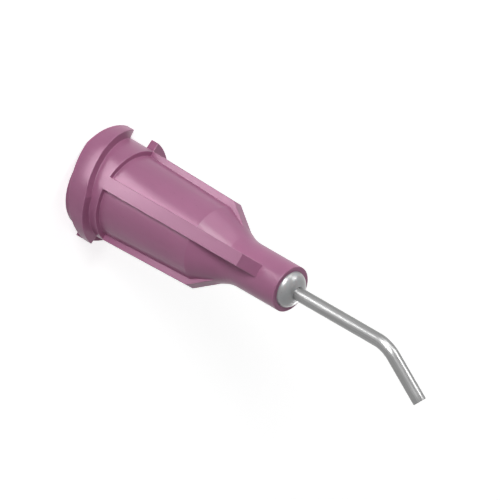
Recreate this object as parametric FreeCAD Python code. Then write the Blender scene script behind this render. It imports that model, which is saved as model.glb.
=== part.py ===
import FreeCAD, Part
import math
import os

# Dispensing needle tip: a moulded hub, a bent steel cannula and the adhesive that bonds them.
# It stands on its luer end at z = 0, with the cannula up and its tip bent towards +X.

# Collar and barrel of the hub
collar_diameter = 6.5
collar_height = 2.7
collar_draft = 0.5
barrel_diameter = 5.82
barrel_length = 7.42
barrel_draft = 1.9

# Cone and nose
cone_half_angle = 22.3
cone_fillet = 3.0
nose_diameter = 3.16
nose_length = 3.72

# Luer socket: a 6 % taper, a short straight end and the funnel that leads to the cannula
socket_diameter = 4.3
socket_taper = 0.06
taper_depth = 7.5
straight_end_length = 1.3
socket_chamfer = 0.2
funnel_half_angle = 40.0

# Locking lugs, two starts of a right-hand helix; each is level with the luer end for its flush turn
lug_height = 0.63
lug_setback = 0.58
lug_width = 1.45
lug_lead = 5.0
lug_flush_turn = 56.5
lug_turn = 165.0
lug_start_angle = 143.5
lug_count = 2

# Finger wings, a long pair and a short pair; the short pair ends with the barrel
wing_thickness = 0.9
wing_draft = 1.27
long_wing_angle = 45.0
long_wing_setback = 2.51
long_wing_slope = 62.0
short_wing_angle = 135.0
short_wing_slope = 34.0

# Cannula, 20 gauge
cannula_diameter = 0.908
cannula_wall = 0.1525
straight_length = 7.86
bend_radius = 2.05
bend_angle = 45.0
tip_length = 3.35
bore_clearance = 0.02

# Adhesive well and bead
well_wall = 0.33
well_depth = 1.6
well_floor_angle = 30.0
bead_rise = 0.62

origin = FreeCAD.Vector(0, 0, 0)
up = FreeCAD.Vector(0, 0, 1)
towards_bend = FreeCAD.Vector(1, 0, 0)
across_bend = FreeCAD.Vector(0, 1, 0)


def rise(angle):
    return math.tan(math.radians(angle))


# Radii about the hub's axis
collar_radius = collar_diameter / 2
collar_foot_radius = collar_radius + collar_height * rise(collar_draft)
barrel_radius = barrel_diameter / 2
barrel_end_radius = barrel_radius - barrel_length * rise(barrel_draft)
nose_radius = nose_diameter / 2
cannula_radius = cannula_diameter / 2
bore_radius = cannula_radius + bore_clearance
well_radius = nose_radius - well_wall
mouth_radius = socket_diameter / 2
socket_end_radius = mouth_radius - taper_depth * socket_taper / 2

# Heights above the luer end
barrel_end_z = collar_height + barrel_length
cone_corner_z = barrel_end_z + (barrel_end_radius - nose_radius) / rise(cone_half_angle)
fillet_tangent = cone_fillet * rise(cone_half_angle / 2)
nose_start_z = cone_corner_z + fillet_tangent
nose_face_z = nose_start_z + nose_length
socket_end_z = taper_depth + straight_end_length
throat_z = socket_end_z + (socket_end_radius - bore_radius) / rise(funnel_half_angle)
well_floor_z = nose_face_z - well_depth
well_root_z = well_floor_z - (well_radius - bore_radius) * rise(well_floor_angle)


def at(radius, z):
    return FreeCAD.Vector(radius, 0, z)


def lines(points):
    return [Part.makeLine(a, b) for a, b in zip(points, points[1:])]


def revolve(edges):
    outline = Part.Wire(Part.sortEdges(edges)[0])
    return Part.Face(outline).revolve(origin, up, 360)


def hub_outside():
    """Drafted collar and barrel, cone, tangent fillet and nose, turned about the axis."""
    slope = math.radians(cone_half_angle)
    fillet_start = at(nose_radius + fillet_tangent * math.sin(slope),
                      cone_corner_z - fillet_tangent * math.cos(slope))
    fillet_centre = at(nose_radius + cone_fillet, nose_start_z)
    towards_surface = at(-math.cos(slope / 2), -math.sin(slope / 2))
    fillet_middle = fillet_centre + towards_surface * cone_fillet
    nose_start = at(nose_radius, nose_start_z)
    edges = lines([nose_start, at(nose_radius, nose_face_z), at(0, nose_face_z), origin,
                   at(collar_foot_radius, 0), at(collar_radius, collar_height),
                   at(barrel_radius, collar_height), at(barrel_end_radius, barrel_end_z), fillet_start])
    edges.append(Part.Arc(fillet_start, fillet_middle, nose_start).toShape())
    return revolve(edges)


def hub_inside():
    """Luer socket, funnel, cannula bore and adhesive well, as the solid that is cut away."""
    chamfer_radius = mouth_radius - socket_chamfer * socket_taper / 2
    return revolve(lines([origin, at(mouth_radius + socket_chamfer, 0), at(chamfer_radius, socket_chamfer),
                          at(socket_end_radius, taper_depth), at(socket_end_radius, socket_end_z),
                          at(bore_radius, throat_z),
                          at(bore_radius, well_root_z), at(well_radius, well_floor_z),
                          at(well_radius, nose_face_z), at(0, nose_face_z), origin]))


def wing_pair(front_z, slope, angle):
    """Two opposite wings as one plate: drafted outer faces, then sloped fronts that run in to the hub."""
    front_radius = collar_radius - (front_z - collar_height) * rise(wing_draft)
    root_radius = well_radius
    root_z = front_z + (front_radius - root_radius) / rise(slope)
    outline = lines([at(-collar_radius, collar_height), at(collar_radius, collar_height),
                     at(front_radius, front_z), at(root_radius, root_z), at(-root_radius, root_z),
                     at(-front_radius, front_z), at(-collar_radius, collar_height)])
    plate = Part.Face(Part.Wire(outline)).extrude(across_bend * wing_thickness)
    plate.translate(across_bend * (-wing_thickness / 2))
    plate.rotate(origin, up, angle)
    return plate


def lug(angle):
    """One helical ridge, cut level with the luer end and with the lugs' front plane."""
    crest_radius = collar_radius + lug_height
    root_radius = collar_radius - lug_height
    swept_radius = crest_radius + lug_height
    run_past = lug_turn / 20
    swept_turn = lug_turn + 2 * run_past
    rear_z = -lug_lead * (lug_flush_turn + run_past) / 360
    front_z = rear_z + lug_width
    section = lines([at(root_radius, rear_z), at(swept_radius, rear_z), at(swept_radius, front_z),
                     at(root_radius, front_z), at(root_radius, rear_z)])
    path = Part.makeHelix(lug_lead, lug_lead * swept_turn / 360, collar_radius)
    path.translate(up * rear_z)
    ridge = Part.Wire(path.Edges).makePipeShell([Part.Wire(section)], True, True)
    ridge.rotate(origin, up, -run_past)
    band_height = collar_height - lug_setback
    band = Part.makeCylinder(crest_radius, band_height, origin, up, lug_turn)
    core = Part.makeCylinder(collar_radius - lug_height / 2, band_height, origin, up, lug_turn)
    piece = ridge.common(band.cut(core))
    piece.rotate(origin, up, angle)
    return piece


def make_hub():
    additions = [wing_pair(nose_face_z - long_wing_setback, long_wing_slope, long_wing_angle),
                 wing_pair(barrel_end_z, short_wing_slope, short_wing_angle)]
    for start in range(lug_count):
        additions.append(lug(lug_start_angle + start * 360 / lug_count))
    outside = hub_outside().fuse(additions).removeSplitter()
    return outside.cut(hub_inside()).removeSplitter()


def make_cannula():
    """A tube along its centreline: straight run, one bend and the straight tip, cut square."""
    inner_end = at(0, throat_z)
    outer_circle = Part.Wire(Part.makeCircle(cannula_radius, inner_end, up))
    inner_circle = Part.Wire(Part.makeCircle(cannula_radius - cannula_wall, inner_end, up))
    section = Part.Face(outer_circle).cut(Part.Face(inner_circle)).Faces[0]
    bend_start = at(0, nose_face_z + straight_length)
    bend_centre = bend_start + towards_bend * bend_radius
    straight = section.extrude(bend_start - inner_end)
    section.translate(bend_start - inner_end)
    bend = section.revolve(bend_centre, across_bend, bend_angle)
    section.rotate(bend_centre, across_bend, bend_angle)
    turn = math.radians(bend_angle)
    tip = section.extrude(at(math.sin(turn), math.cos(turn)) * tip_length)
    return straight.fuse([bend, tip]).removeSplitter()


def make_adhesive_bead():
    """Fills the well round the cannula and rises from its rim, to lie level where it meets the tube."""
    width = well_radius - cannula_radius
    curve = (width ** 2 + bead_rise ** 2) / (2 * bead_rise)
    half_turn = math.atan2(width, curve - bead_rise) / 2
    crown = at(cannula_radius, nose_face_z + bead_rise)
    dome_centre = crown - at(0, curve)
    dome_middle = dome_centre + at(math.sin(half_turn), math.cos(half_turn)) * curve
    rim = at(well_radius, nose_face_z)
    edges = lines([crown, at(cannula_radius, well_root_z), at(bore_radius, well_root_z),
                   at(well_radius, well_floor_z), rim])
    edges.append(Part.Arc(rim, dome_middle, crown).toShape())
    return revolve(edges)


os.makedirs("parts", exist_ok=True)
nodes = {"hub": make_hub(), "cannula": make_cannula(), "adhesive_bead": make_adhesive_bead()}
for name, shape in nodes.items():
    solid = shape.Solids[0]
    print(name, "solids", len(shape.Solids), "valid", solid.isValid(), "volume mm3", round(solid.Volume, 3))
    solid.exportStep("parts/" + name + ".step")
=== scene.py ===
import math

import bpy
from mathutils import Matrix, Vector, noise


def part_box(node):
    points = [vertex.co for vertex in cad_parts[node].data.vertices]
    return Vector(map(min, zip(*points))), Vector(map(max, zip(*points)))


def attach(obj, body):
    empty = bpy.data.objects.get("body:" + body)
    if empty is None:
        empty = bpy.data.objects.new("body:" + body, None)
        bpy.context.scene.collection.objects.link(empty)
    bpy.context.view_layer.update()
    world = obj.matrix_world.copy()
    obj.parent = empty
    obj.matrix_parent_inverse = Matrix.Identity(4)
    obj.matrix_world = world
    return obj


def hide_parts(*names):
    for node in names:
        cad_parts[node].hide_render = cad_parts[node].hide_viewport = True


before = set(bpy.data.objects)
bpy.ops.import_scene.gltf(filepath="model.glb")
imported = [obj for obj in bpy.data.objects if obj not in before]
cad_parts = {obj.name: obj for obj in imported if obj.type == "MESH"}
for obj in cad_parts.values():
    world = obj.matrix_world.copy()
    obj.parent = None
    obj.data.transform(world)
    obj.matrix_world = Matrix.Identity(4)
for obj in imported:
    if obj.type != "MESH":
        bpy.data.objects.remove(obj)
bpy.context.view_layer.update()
print("frame loaded:", ", ".join(sorted(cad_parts)))

mm = 0.001
scene = bpy.context.scene
scene.view_settings.view_transform = "Standard"
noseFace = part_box("hub")[1].z  # the needle and its bead are built up from the hub's nose


def linkObject(name, data):
    thing = bpy.data.objects.new(name, data)
    scene.collection.objects.link(thing)
    return thing


# Unit vector from the hub's axis, with azimuth turned from +X and elevation lifted from the floor
def direction(azimuth, elevation=0):
    turn, lift = math.radians(azimuth), math.radians(elevation)
    return Vector((math.cos(turn) * math.cos(lift), math.sin(turn) * math.cos(lift), math.sin(lift)))


# The camera looks from an isometric corner and is rolled, so the needle points down to the right.
cameraLook = {
    "towardsCamera": (-1, -1, 1),
    "screenRight": (0, 1, 1),
    "noseRight": 2.590 * mm,  # from the middle of the picture to the nose
    "noseBelow": 2.513 * mm,
    "pictureWidth": 31.935 * mm,
    "distance": 250 * mm,
    "clipSpan": (1 * mm, 2000 * mm),
}


def makeCamera(look):
    data = bpy.data.cameras.new("Camera")
    data.type = "ORTHO"
    data.ortho_scale = look["pictureWidth"]
    data.clip_start, data.clip_end = look["clipSpan"]
    towards = Vector(look["towardsCamera"]).normalized()
    right = Vector(look["screenRight"]).normalized()
    up = towards.cross(right)
    middle = Vector((0, 0, noseFace)) - right * look["noseRight"] + up * look["noseBelow"]
    camera = linkObject("Camera", data)
    turn = Matrix((right, up, towards)).transposed().to_4x4()
    camera.matrix_world = Matrix.Translation(middle + towards * look["distance"]) @ turn
    scene.camera = camera


makeCamera(cameraLook)
print("camera placed")


# Node helpers: a value given as a socket is linked, any other value is set.
def feedSocket(tree, socket, value):
    if isinstance(value, bpy.types.NodeSocket):
        tree.links.new(value, socket)
    else:
        socket.default_value = value


def addNode(tree, kind, inputs=None, **settings):
    node = tree.nodes.new(kind)
    for key, value in settings.items():
        setattr(node, key, value)
    for key, value in (inputs or {}).items():
        feedSocket(tree, node.inputs[key], value)
    return node.outputs


def addMath(tree, operation, first, second=0):
    return addNode(tree, "ShaderNodeMath", {0: first, 1: second}, operation=operation)[0]


def addVectorMath(tree, operation, first, second=(0, 0, 0), output="Vector"):
    return addNode(tree, "ShaderNodeVectorMath", {0: first, 1: second}, operation=operation)[output]


def remap(tree, value, fromRange, toRange):
    ends = dict(zip(("From Min", "From Max", "To Min", "To Max"), (*fromRange, *toRange)))
    return addNode(tree, "ShaderNodeMapRange", {"Value": value, **ends})[0]


def blend(tree, first, second, secondShare):
    kept = addMath(tree, "MULTIPLY", first, 1 - secondShare)
    return addMath(tree, "ADD", kept, addMath(tree, "MULTIPLY", second, secondShare))


def mixColour(tree, factor, first, second):
    node = tree.nodes.new("ShaderNodeMix")
    node.data_type = "RGBA"
    colourInputs = [socket for socket in node.inputs if socket.type == "RGBA"]
    for socket, value in zip([node.inputs[0]] + colourInputs, (factor, first, second)):
        feedSocket(tree, socket, value)
    return next(socket for socket in node.outputs if socket.type == "RGBA")


def grey(value):
    return (value, value, value, 1)


def newMaterial(name):
    material = bpy.data.materials.new(name)
    material.use_nodes = True
    material.node_tree.nodes.clear()
    return material


def addBump(tree, height, look):
    inputs = {"Height": height, "Strength": look["bumpStrength"], "Distance": look["bumpDepth"]}
    return addNode(tree, "ShaderNodeBump", inputs)[0]


def finishMaterial(tree, inputs):
    surface = addNode(tree, "ShaderNodeBsdfPrincipled", inputs)[0]
    addNode(tree, "ShaderNodeOutputMaterial", {"Surface": surface})


def newGroup(name, inputs, output):
    tree = bpy.data.node_groups.new(name, "ShaderNodeTree")
    for label, (kind, value) in inputs.items():
        socket = tree.interface.new_socket(label, in_out="INPUT", socket_type=kind)
        socket.default_value = value
    tree.interface.new_socket(output, in_out="OUTPUT", socket_type="NodeSocketFloat")
    return tree, tree.nodes.new("NodeGroupInput").outputs


# Effects that more than one material uses, each a node group that is placed with its own values
effectLook = {
    "toneSpan": (0.3, 0.7),    # the part of the noise that is spread over 0 to 1
    "edgeSpan": (0.995, 0.9),  # how well the rounded normal agrees with the true one, off an edge and on it
    "edgeSamples": 4,
    "patchSpan": (0.35, 0.6),
    "patchDetail": 2,
    "leastRubAndHighlight": 0.3,           # what is left of the rubbed edges and painted edge highlight between their patches
    "speckShare": 0.28,        # share of the cells that hold a speck
}


# Streaked or even unevenness of a surface: moulding flow, drag lines, drawing lines, cloudiness.
def makeUnevenness(look):
    tree, given = newGroup("unevenness", {
        "Vector": ("NodeSocketVector", (0, 0, 0)),
        "Stretch": ("NodeSocketVector", (1, 1, 1)),
        "Scale": ("NodeSocketFloat", 1000),
        "Detail": ("NodeSocketFloat", 3),
    }, "Tone")
    place = addVectorMath(tree, "MULTIPLY", given["Vector"], given["Stretch"])
    grain = addNode(tree, "ShaderNodeTexNoise", {
        "Vector": place, "Scale": given["Scale"], "Detail": given["Detail"],
    })["Fac"]
    addNode(tree, "NodeGroupOutput", {"Tone": remap(tree, grain, look["toneSpan"], (0, 1))})
    return tree


# Outside edges painted brighter, partly as rubbed edges and partly as a painted highlight where edges catch
# the light, broken up so that no edge is even.
def makeEdgeRubAndHighlight(look):
    tree, given = newGroup("edgeRubAndHighlight", {
        "Radius": ("NodeSocketFloat", 0.05 * mm),
        "Breakup": ("NodeSocketFloat", 3000),
        "Amount": ("NodeSocketFloat", 0.5),
    }, "Mask")
    rounded = addNode(tree, "ShaderNodeBevel", {"Radius": given["Radius"]}, samples=look["edgeSamples"])[0]
    normal = addNode(tree, "ShaderNodeNewGeometry")["Normal"]
    place = addNode(tree, "ShaderNodeTexCoord")["Object"]
    edge = remap(tree, addVectorMath(tree, "DOT_PRODUCT", rounded, normal, "Value"), look["edgeSpan"], (0, 1))
    patch = addNode(tree, "ShaderNodeTexNoise", {
        "Vector": place, "Scale": given["Breakup"], "Detail": look["patchDetail"],
    })["Fac"]
    broken = remap(tree, patch, look["patchSpan"], (look["leastRubAndHighlight"], 1))
    mask = addMath(tree, "MULTIPLY", addMath(tree, "MULTIPLY", edge, broken), given["Amount"])
    addNode(tree, "NodeGroupOutput", {"Mask": mask})
    return tree


# Sparse specks: undispersed pigment in the plastic, dust caught in the adhesive.
def makeSpecks(look):
    tree, given = newGroup("specks", {
        "Vector": ("NodeSocketVector", (0, 0, 0)),
        "Scale": ("NodeSocketFloat", 2000),
        "Size": ("NodeSocketFloat", 0.15),
    }, "Mask")
    cells = addNode(tree, "ShaderNodeTexVoronoi", {"Vector": given["Vector"], "Scale": given["Scale"]})
    small = addMath(tree, "LESS_THAN", cells["Distance"], given["Size"])
    draw = addNode(tree, "ShaderNodeSeparateColor", {0: cells["Color"]})[0]
    chosen = addMath(tree, "GREATER_THAN", draw, 1 - look["speckShare"])
    addNode(tree, "NodeGroupOutput", {"Mask": addMath(tree, "MULTIPLY", small, chosen)})
    return tree


unevenness = makeUnevenness(effectLook)
edgeRubAndHighlight = makeEdgeRubAndHighlight(effectLook)
specks = makeSpecks(effectLook)
print("shared effects made")


def addTone(tree, place, scale, stretch=(1, 1, 1), detail=3):
    inputs = {"Vector": place, "Scale": scale, "Stretch": stretch, "Detail": detail}
    return addNode(tree, "ShaderNodeGroup", inputs, node_tree=unevenness)[0]


# Places the rubbed edges and painted edge highlight
def addRubAndHighlight(tree, look):
    inputs = {"Radius": look["rubAndHighlightRadius"], "Breakup": look["rubAndHighlightScale"], "Amount": look["rubAndHighlightAmount"]}
    return addNode(tree, "ShaderNodeGroup", inputs, node_tree=edgeRubAndHighlight)[0]


def addSpecks(tree, place, look):
    inputs = {"Vector": place, "Scale": look["speckScale"], "Size": look["speckSize"]}
    mask = addNode(tree, "ShaderNodeGroup", inputs, node_tree=specks)[0]
    return addMath(tree, "MULTIPLY", mask, look["speckStrength"])


# Closed surfaces from rings of points; the last ring joins the first.
def loftRings(name, rings, material):
    sides = len(rings[0])
    faces = []
    for index in range(len(rings)):
        here, ahead = index * sides, (index + 1) % len(rings) * sides
        for side in range(sides):
            after = (side + 1) % sides
            faces.append((here + side, here + after, ahead + after, ahead + side))
    data = bpy.data.meshes.new(name)
    data.from_pydata([point for ring in rings for point in ring], [], faces)
    data.shade_smooth()
    data.materials.append(material)
    return linkObject(name, data)


# The large faces set the normals, so they stay true and the small rounds take up the turn.
def evenShading(piece):
    shading = piece.modifiers.new("evenShading", "WEIGHTED_NORMAL")
    shading.keep_sharp = True
    shading.weight = 100


# Hub: the moulded body, with the small radii that a mould leaves on its edges
hubLook = {
    "seamWidth": 0.0002 * mm,    # points closer than this are joined
    "flatAngle": 0.6,            # faces that turn less than this are joined
    "edgeRadius": 0.035 * mm,
    "edgeSteps": 2,
    "cornerAngle": 15,
    "collarTop": 2.7 * mm,
    "stepReach": 0.02 * mm,
    "wingReach": 0.75 * mm,
    "insideSpan": (0.12 * mm, 10.1 * mm),
    "flatTurn": 0.004,           # a level normal this near to halfway between the axes is a wing's
    "softAngle": 9,
    "stripAngle": 32,
    "stripArea": 0.03 * mm * mm,
    "facetReach": 0.38 * mm,     # more than half a facet, less than half a wing's thickness
    "mauveDark": (0.362, 0.136, 0.246, 1),
    "mauveLight": (0.412, 0.160, 0.284, 1),
    "speckColour": (0.30, 0.11, 0.20, 1),
    # edge colour: rubbed edges and a painted highlight along the edges
    "rubAndHighlightColour": (0.56, 0.33, 0.46, 1),
    "flowScale": 420,
    "flowStretch": (1, 1, 0.35),
    "dragScale": 9000,
    "dragStretch": (1, 1, 0.03),
    "grainScale": 14000,
    "grainDetail": 2,
    "grainShare": 0.4,           # the rest of the wear is drag lines
    "speckScale": 2600,
    "speckSize": 0.13,
    "speckStrength": 0.3,
    # size, breakup and strength of the rubbed edges and painted edge highlight
    "rubAndHighlightRadius": 0.07 * mm,
    "rubAndHighlightScale": 2500,
    "rubAndHighlightAmount": 0.35,
    "roughness": (0.27, 0.37),
    "bumpStrength": 0.6,
    "bumpDepth": 0.0035 * mm,
    "gloss": 0.24,
    "translucency": 0.08,
    "lightReach": (1, 0.45, 0.7),  # how far red, green and blue light travel inside, in reachScale
    "reachScale": 0.6 * mm,
}


def makeHubPlastic(look):
    material = newMaterial("mauvePolypropylene")
    tree = material.node_tree
    place = addNode(tree, "ShaderNodeTexCoord")["Object"]
    flow = addTone(tree, place, look["flowScale"], look["flowStretch"])
    drag = addTone(tree, place, look["dragScale"], look["dragStretch"])
    grain = addTone(tree, place, look["grainScale"], detail=look["grainDetail"])
    colour = mixColour(tree, flow, look["mauveDark"], look["mauveLight"])
    colour = mixColour(tree, addSpecks(tree, place, look), colour, look["speckColour"])
    # Outside edges painted lighter: partly rubbed edges, partly a painted highlight where edges catch the
    # light
    colour = mixColour(tree, addRubAndHighlight(tree, look), colour, look["rubAndHighlightColour"])
    wear = blend(tree, drag, grain, look["grainShare"])
    finishMaterial(tree, {
        "Base Color": colour,
        "Roughness": remap(tree, wear, (0, 1), look["roughness"]),
        "Specular IOR Level": look["gloss"],
        "Subsurface Weight": look["translucency"],
        "Subsurface Radius": look["lightReach"],
        "Subsurface Scale": look["reachScale"],
        "Normal": addBump(tree, wear, look),
    })
    return material


def newShaper(name):
    tree = bpy.data.node_groups.new(name, "GeometryNodeTree")
    for side in ("INPUT", "OUTPUT"):
        tree.interface.new_socket("Geometry", in_out=side, socket_type="NodeSocketGeometry")
    return tree, tree.nodes.new("NodeGroupInput").outputs[0]


def setSmooth(tree, shape, smooth, domain, selection=True):
    inputs = {"Geometry": shape, "Selection": selection, "Shade Smooth": smooth}
    return addNode(tree, "GeometryNodeSetShadeSmooth", inputs, domain=domain)[0]


# 0 halfway between the X and the Y axis, where the wings lie
def offDiagonal(tree, vector):
    alongX, alongY = addNode(tree, "ShaderNodeSeparateXYZ", {0: vector})[:2]
    return addMath(tree, "SUBTRACT", addMath(tree, "ABSOLUTE", alongX), addMath(tree, "ABSOLUTE", alongY))


# Marks the corners that the mould rounds. Left sharp are the hair-thin steps where a wing starts
# at the collar, and the inside corners at the very foot and where the long wings run out.
def makeCornerMarker(look):
    tree, shape = newShaper("markCorners")

    def near(value, middle, reach):
        return addNode(tree, "ShaderNodeMath", {0: value, 1: middle, 2: reach}, operation="COMPARE")[0]

    angle = addNode(tree, "GeometryNodeInputMeshEdgeAngle")
    corner = addMath(tree, "GREATER_THAN", angle["Unsigned Angle"], math.radians(look["cornerAngle"]))
    inside = addMath(tree, "LESS_THAN", angle["Signed Angle"], 0)
    place = addNode(tree, "GeometryNodeInputPosition")[0]
    height = addNode(tree, "ShaderNodeSeparateXYZ", {0: place})[2]
    onWing = near(offDiagonal(tree, place), 0, look["wingReach"])
    thinStep = addMath(tree, "MULTIPLY", onWing, near(height, look["collarTop"], look["stepReach"]))
    low, high = look["insideSpan"]
    beyond = addMath(tree, "SUBTRACT", inside, near(height, (low + high) / 2, (high - low) / 2))
    spared = addMath(tree, "GREATER_THAN", addMath(tree, "MAXIMUM", thinStep, beyond), 0.5)
    leftSharp = addMath(tree, "MULTIPLY", corner, spared)
    smooth = setSmooth(tree, shape, True, "FACE")
    creased = setSmooth(tree, smooth, False, "EDGE", leftSharp)
    marked = addNode(tree, "GeometryNodeStoreNamedAttribute", {
        "Geometry": creased,
        "Name": "bevel_weight_edge",
        "Value": addMath(tree, "SUBTRACT", corner, leftSharp),
    }, data_type="FLOAT", domain="EDGE")[0]
    addNode(tree, "NodeGroupOutput", {0: marked})
    return tree


# Makes the flat facets of the turned faces shade as truly round ones: each corner's normal keeps its
# slope along the axis and points straight away from the axis, or straight at it inside the hub.
# A normal that has been pulled far off its face by a neighbour round a corner goes back to the face's,
# as do all normals of level faces and of the wings' flats. Narrow strips are the small radii, and their
# normals may turn further. All edges are sharp here, so that each corner of a face keeps its own normal.
def makeRoundShading(look):
    tree, shape = newShaper("shadeRound")

    def level(vector):
        return addVectorMath(tree, "MULTIPLY", vector, (1, 1, 0))

    def length(vector):
        return addVectorMath(tree, "LENGTH", vector, output="Value")

    def choose(condition, otherwise, chosen):
        inputs = {0: condition, 1: otherwise, 2: chosen}
        return addNode(tree, "GeometryNodeSwitch", inputs, input_type="VECTOR")[0]

    normals = addNode(tree, "GeometryNodeInputNormal")
    facing = addNode(tree, "GeometryNodeFieldOnDomain", {
        0: normals["True Normal"],
    }, data_type="FLOAT_VECTOR", domain="FACE")[0]
    fromAxis = level(addNode(tree, "GeometryNodeInputPosition")[0])
    outwards = addVectorMath(tree, "NORMALIZE", fromAxis)
    faceOutwards = addVectorMath(tree, "NORMALIZE", level(facing))

    offMiddle = length(addVectorMath(tree, "CROSS_PRODUCT", fromAxis, faceOutwards))
    uneven = addMath(tree, "ABSOLUTE", offDiagonal(tree, faceOutwards))
    curved = addMath(tree, "GREATER_THAN", uneven, look["flatTurn"])
    turned = addMath(tree, "MULTIPLY", curved, addMath(tree, "LESS_THAN", offMiddle, look["facetReach"]))

    area = addNode(tree, "GeometryNodeInputMeshFaceArea")[0]
    narrow = addMath(tree, "LESS_THAN", area, look["stripArea"])
    limits = [math.cos(math.radians(look[key])) for key in ("softAngle", "stripAngle")]
    agreement = addVectorMath(tree, "DOT_PRODUCT", normals["Normal"], facing, "Value")
    gentle = addMath(tree, "GREATER_THAN", agreement, remap(tree, narrow, (0, 1), limits))
    kept = choose(addMath(tree, "MULTIPLY", gentle, curved), facing, normals["Normal"])

    side = addMath(tree, "SIGN", addVectorMath(tree, "DOT_PRODUCT", faceOutwards, outwards, "Value"))
    spread = addMath(tree, "MULTIPLY", length(level(kept)), side)
    radial = addNode(tree, "ShaderNodeVectorMath", {0: outwards, "Scale": spread}, operation="SCALE")[0]
    slope = addVectorMath(tree, "MULTIPLY", kept, (0, 0, 1))
    chosen = choose(turned, kept, addVectorMath(tree, "ADD", radial, slope))
    shaded = addNode(tree, "GeometryNodeSetMeshNormal", {
        "Mesh": setSmooth(tree, shape, False, "EDGE"),
        "Custom Normal": chosen,
    }, mode="FREE", domain="CORNER")[0]
    addNode(tree, "NodeGroupOutput", {0: shaded})
    return tree


def dressHub(look):
    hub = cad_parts["hub"]
    hub.material_slots[0].material = makeHubPlastic(look)
    hub.modifiers.new("joinSeams", "WELD").merge_threshold = look["seamWidth"]
    flats = hub.modifiers.new("wholeFlats", "DECIMATE")
    flats.decimate_type = "DISSOLVE"
    flats.angle_limit = math.radians(look["flatAngle"])
    hub.modifiers.new("cornerMarks", "NODES").node_group = makeCornerMarker(look)
    rounds = hub.modifiers.new("mouldRadii", "BEVEL")
    rounds.width = look["edgeRadius"]
    rounds.segments = look["edgeSteps"]
    rounds.limit_method = "WEIGHT"
    rounds.use_clamp_overlap = False
    rounds.miter_outer = "MITER_ARC"
    evenShading(hub)
    hub.modifiers.new("roundShading", "NODES").node_group = makeRoundShading(look)


dressHub(hubLook)
print("hub dressed")


# Needle: a drawn tube that is bent once, deburred at its ends and a little flattened in the bend
needleLook = {
    "outerRadius": 0.454 * mm,
    "wall": 0.1525 * mm,
    "straightLength": 7.86 * mm,  # from the nose to the bend
    "bendRadius": 2.05 * mm,
    "bendAngle": 45,
    "tipLength": 3.35 * mm,
    "outerBreak": 0.035 * mm,
    "innerBreak": 0.02 * mm,
    "flattening": 0.02,
    "sides": 64,
    "runSteps": 16,
    "bendSteps": 24,
    "tipSteps": 8,
    "breakSteps": 4,
    "steelDark": grey(0.21),
    "steelLight": grey(0.28),
    # edge colour: rubbed edges and a painted highlight along the edges
    "steelRubAndHighlight": grey(0.6),
    "lineScale": 12000,
    "lineStretch": (1, 1, 0.012),
    "smudgeScale": 900,
    "smudgeDetail": 4,
    "smudgeShare": 0.5,           # the rest of the unevenness is drawing lines
    # size, breakup and strength of the rubbed edges and painted edge highlight
    "rubAndHighlightRadius": 0.03 * mm,
    "rubAndHighlightScale": 6000,
    "rubAndHighlightAmount": 0.5,
    "roughness": (0.28, 0.40),
    "bumpStrength": 0.5,
    "bumpDepth": 0.0005 * mm,
}


# The drawing lines follow the tube round its bend, by the places that its points had when it was straight.
def makeDrawnSteel(look):
    material = newMaterial("drawnSteel")
    tree = material.node_tree
    place = addNode(tree, "ShaderNodeAttribute", attribute_name="unbent")["Vector"]
    drawn = addTone(tree, place, look["lineScale"], look["lineStretch"])
    smudge = addTone(tree, place, look["smudgeScale"], detail=look["smudgeDetail"])
    colour = mixColour(tree, drawn, look["steelDark"], look["steelLight"])
    # Outside edges painted lighter: partly rubbed edges, partly a painted highlight where edges catch the
    # light
    colour = mixColour(tree, addRubAndHighlight(tree, look), colour, look["steelRubAndHighlight"])
    uneven = blend(tree, drawn, smudge, look["smudgeShare"])
    finishMaterial(tree, {
        "Base Color": colour,
        "Metallic": 1,
        "Roughness": remap(tree, uneven, (0, 1), look["roughness"]),
        "Normal": addBump(tree, drawn, look),
    })
    return material


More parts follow.
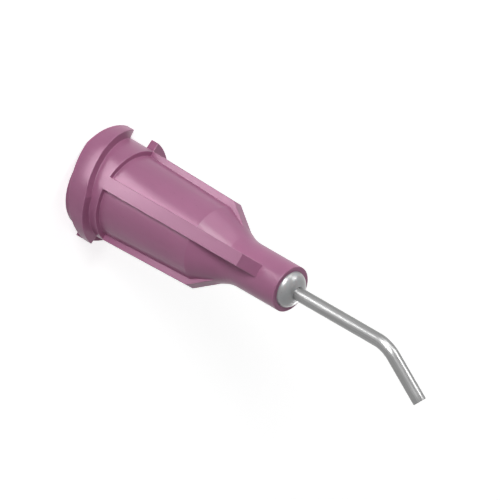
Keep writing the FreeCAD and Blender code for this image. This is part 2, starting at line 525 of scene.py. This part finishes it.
def makeNeedle(look):
    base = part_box("cannula")[0].z
    bendStart = noseFace + look["straightLength"] - base
    bendTurn = math.radians(look["bendAngle"])
    bendEnd = bendStart + look["bendRadius"] * bendTurn
    length = bendEnd + look["tipLength"]
    outer, inner = look["outerRadius"], look["outerRadius"] - look["wall"]
    broken, eased, steps = look["outerBreak"], look["innerBreak"], look["breakSteps"]

    # One ring of points, where the bend carries them and where they were before it
    def ring(along, radius):
        turn = min(max((along - bendStart) / look["bendRadius"], 0), bendTurn)
        ahead = Vector((math.sin(turn), 0, math.cos(turn)))
        outwards = Vector((-math.cos(turn), 0, math.sin(turn)))
        sidewards = ahead.cross(outwards)
        centre = Vector((0, 0, base + min(along, bendStart)))
        centre += (Vector((1, 0, 0)) + outwards) * look["bendRadius"]
        centre += ahead * max(along - bendEnd, 0)
        flat = look["flattening"] * math.sin(math.pi * turn / bendTurn)
        points, straightened = [], []
        for side in range(look["sides"]):
            angle = 2 * math.pi * side / look["sides"]
            out, aside = math.cos(angle) * radius, math.sin(angle) * radius
            points.append(centre + outwards * out * (1 - flat) + sidewards * aside * (1 + flat / 2))
            straightened.append((out, aside, along))
        return points, straightened

    # A quarter round of the wall's section, clockwise from its first angle
    def quarterRound(along, radius, size, firstAngle):
        turns = [math.radians(firstAngle - 90 * step / steps) for step in range(steps + 1)]
        return [(along + size * math.cos(turn), radius + size * math.sin(turn)) for turn in turns]

    spans = [
        (broken, bendStart, look["runSteps"]),
        (bendStart, bendEnd, look["bendSteps"]),
        (bendEnd, length - broken, look["tipSteps"]),
    ]
    run = [start + (end - start) * step / count for start, end, count in spans for step in range(count)]
    stations = [(along, outer) for along in run]
    stations += quarterRound(length - broken, outer - broken, broken, 90)
    stations += quarterRound(length - eased, inner + eased, eased, 0)
    stations += [(along, inner) for along in reversed(run[1:])]
    stations += quarterRound(eased, inner + eased, eased, -90)
    stations += quarterRound(broken, outer - broken, broken, 180)[:-1]
    rings = [ring(along, radius) for along, radius in stations]
    needle = loftRings("drawn_needle", [points for points, straightened in rings], makeDrawnSteel(look))
    unbent = needle.data.attributes.new("unbent", "FLOAT_VECTOR", "POINT")
    straightPlaces = [place for points, straightened in rings for place in straightened]
    for point, place in zip(unbent.data, straightPlaces):
        point.vector = place
    evenShading(needle)
    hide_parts("cannula")
    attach(needle, "root")


makeNeedle(needleLook)
print("needle made")


# Bead: cured adhesive that fills the well in the nose and wets the needle
beadLook = {
    "rimRadius": 1.25 * mm,
    "rise": 0.62 * mm,
    "skirt": 0.3 * mm,            # how far it is followed down into the well
    "wetting": 0.05 * mm,         # how far it creeps up the needle
    "wettingWidth": 0.06 * mm,
    "wobble": 0.010 * mm,
    "wobbleCount": 1.4,           # about as many waves of the wobble in one radian round the needle
    "sides": 96,
    "domeSteps": 22,
    "stepCrowding": 0.8,          # below 1, the steps of the dome crowd towards the needle
    "greyDark": (0.265, 0.266, 0.272, 1),
    "greyLight": (0.335, 0.336, 0.342, 1),
    "dustColour": grey(0.12),
    "speckScale": 5200,
    "speckSize": 0.16,
    "speckStrength": 0.5,
    "cloudScale": 1500,
    "cloudDetail": 5,
    "rippleScale": 2200,
    "rippleDetail": 1,
    "bumpStrength": 0.5,
    "bumpDepth": 0.004 * mm,
    "roughness": (0.32, 0.42),
    "skinRoughness": 0.28,
    "skinBending": 1.65,          # refractive index of the glossy skin
    "translucency": 0.1,
    "reachScale": 0.3 * mm,
}


def makeCuredAdhesive(look):
    material = newMaterial("curedAdhesive")
    tree = material.node_tree
    place = addNode(tree, "ShaderNodeTexCoord")["Object"]
    cloud = addTone(tree, place, look["cloudScale"], detail=look["cloudDetail"])
    ripple = addTone(tree, place, look["rippleScale"], detail=look["rippleDetail"])
    colour = mixColour(tree, cloud, look["greyDark"], look["greyLight"])
    colour = mixColour(tree, addSpecks(tree, place, look), colour, look["dustColour"])
    finishMaterial(tree, {
        "Base Color": colour,
        "Roughness": remap(tree, cloud, (0, 1), look["roughness"]),
        "Coat Weight": 1,
        "Coat Roughness": look["skinRoughness"],
        "Coat IOR": look["skinBending"],
        "Subsurface Weight": look["translucency"],
        "Subsurface Scale": look["reachScale"],
        "Normal": addBump(tree, ripple, look),
    })
    return material


def makeBead(look):
    tube = needleLook["outerRadius"]
    width = look["rimRadius"] - tube
    curve = (width ** 2 + look["rise"] ** 2) / (2 * look["rise"])
    rimTurn = math.asin((curve - look["rise"]) / curve)
    profile = [(look["rimRadius"], noseFace - look["skirt"])]
    for step in range(look["domeSteps"] + 1):
        turn = rimTurn + (math.pi / 2 - rimTurn) * (step / look["domeSteps"]) ** look["stepCrowding"]
        radius = tube + curve * math.cos(turn)
        height = noseFace + look["rise"] - curve + curve * math.sin(turn)
        height += look["wetting"] * math.exp(-(radius - tube) / look["wettingWidth"])
        profile.append((radius, height))
    profile.append((tube, noseFace - look["skirt"]))
    rings = []
    for radius, height in profile:
        fade = max(0, min(1, (height - noseFace) / look["rise"]))
        points = []
        for side in range(look["sides"]):
            around = direction(360 * side / look["sides"])
            wave = noise.noise(around * look["wobbleCount"] + Vector((0, 0, radius / mm)))
            points.append(around * radius + Vector((0, 0, height + wave * look["wobble"] * fade)))
        rings.append(points)
    bead = loftRings("cured_bead", rings, makeCuredAdhesive(look))
    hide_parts("adhesive_bead")
    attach(bead, "root")


makeBead(beadLook)
print("bead made")


# Studio: a pale floor that shows white, soft lamps round it and strips of light on it
studioLook = {
    "worldLight": 0.2,
    "floorSide": 3000 * mm,
    "floorColour": grey(0.85),
    "floorRoughness": 0.9,
    "floorGlow": (0.7, 0.85),  # near the object and far from it
    "glowSpan": (60 * mm, 300 * mm),
    "aim": (0, 0, 9 * mm),
    "lampDistance": 250 * mm,
    "stripHeight": 0.3 * mm,
}

# A lamp that shades lights plain surfaces, and one that shines shows in gloss.
lampLook = {
    "KeyLamp": {
        "power": 0.32, "width": 90 * mm, "azimuth": 212, "elevation": 16,
        "shades": True, "shines": True,
    },
    "SideLamp": {
        "power": 0.18, "width": 100 * mm, "azimuth": 138, "elevation": 13,
        "shades": True, "shines": False,
    },
    "FillLamp": {
        "power": 0.12, "width": 90 * mm, "azimuth": 38, "elevation": 8,
        "shades": True, "shines": True,
    },
    "ConeLamp": {
        "power": 0.52, "width": 110 * mm, "azimuth": 199, "elevation": 9,
        "shades": False, "shines": True,
    },
    "ConeSideLamp": {
        "power": 0.28, "width": 160 * mm, "azimuth": 162, "elevation": 7,
        "shades": False, "shines": True,
    },
    "TipLamp": {
        "power": 0.27, "width": 110 * mm, "azimuth": 138, "elevation": 33,
        "shades": False, "shines": True,
    },
}

# Strips lie on the floor, face up and show only in gloss, as lines of light down the upright walls.
stripLook = {
    "HubStrip": {
        "power": 0.0039, "length": 19 * mm, "width": 5.6 * mm,
        "azimuth": 207, "away": 14.6 * mm, "aside": 0.7 * mm,
    },
    "TubeStrip": {
        "power": 0.0023, "length": 20 * mm, "width": 5.6 * mm,
        "azimuth": 208, "away": 34 * mm, "aside": 0,
    },
    "WingStrip": {
        "power": 0.0011, "length": 14 * mm, "width": 6 * mm,
        "azimuth": 225, "away": 15.5 * mm, "aside": 1.4 * mm,
    },
}


# 1 for the rays that see the background: from the camera, off gloss or through something clear
def seesBackground(tree):
    rays = addNode(tree, "ShaderNodeLightPath")
    either = addMath(tree, "MAXIMUM", rays["Is Camera Ray"], rays["Is Glossy Ray"])
    return addMath(tree, "MAXIMUM", either, rays["Is Transmission Ray"])


def makeWorld(look):
    world = bpy.data.worlds.new("StudioWorld")
    world.use_nodes = True
    tree = world.node_tree
    tree.nodes.clear()
    strength = remap(tree, seesBackground(tree), (0, 1), (look["worldLight"], 1))
    background = addNode(tree, "ShaderNodeBackground", {"Color": grey(1), "Strength": strength})[0]
    addNode(tree, "ShaderNodeOutputWorld", {"Surface": background})
    scene.world = world


def makeFloor(look):
    half = look["floorSide"] / 2
    data = bpy.data.meshes.new("Floor")
    corners = [(-half, -half, 0), (half, -half, 0), (half, half, 0), (-half, half, 0)]
    data.from_pydata(corners, [], [(0, 1, 2, 3)])
    floor = linkObject("Floor", data)
    material = newMaterial("palePaper")
    tree = material.node_tree
    place = addNode(tree, "ShaderNodeTexCoord")["Object"]
    away = addVectorMath(tree, "LENGTH", place, output="Value")
    glow = remap(tree, away, look["glowSpan"], look["floorGlow"])
    finishMaterial(tree, {
        "Base Color": look["floorColour"],
        "Roughness": look["floorRoughness"],
        "Specular IOR Level": 0,
        "Emission Color": grey(1),
        "Emission Strength": addMath(tree, "MULTIPLY", seesBackground(tree), glow),
    })
    data.materials.append(material)


def makeLamp(name, look):
    data = bpy.data.lights.new(name, "AREA")
    data.shape = "DISK"
    data.size = look["width"]
    data.energy = look["power"]
    lamp = linkObject(name, data)
    towards = direction(look["azimuth"], look["elevation"])
    lamp.location = Vector(studioLook["aim"]) + towards * studioLook["lampDistance"]
    lamp.rotation_euler = towards.to_track_quat("Z", "Y").to_euler()
    lamp.visible_camera = False
    lamp.visible_diffuse = look["shades"]
    lamp.visible_glossy = look["shines"]


def makeStrip(name, look):
    data = bpy.data.lights.new(name, "AREA")
    data.shape = "RECTANGLE"
    data.size = look["length"]
    data.size_y = look["width"]
    data.energy = look["power"]
    strip = linkObject(name, data)
    middle = direction(look["azimuth"]) * look["away"] + direction(look["azimuth"] + 90) * look["aside"]
    strip.location = middle + Vector((0, 0, studioLook["stripHeight"]))
    strip.rotation_euler = (math.pi, 0, math.radians(look["azimuth"]))
    strip.visible_camera = False
    strip.visible_diffuse = False


makeWorld(studioLook)
makeFloor(studioLook)
for lampName, look in lampLook.items():
    makeLamp(lampName, look)
for stripName, look in stripLook.items():
    makeStrip(stripName, look)
print("studio lit")
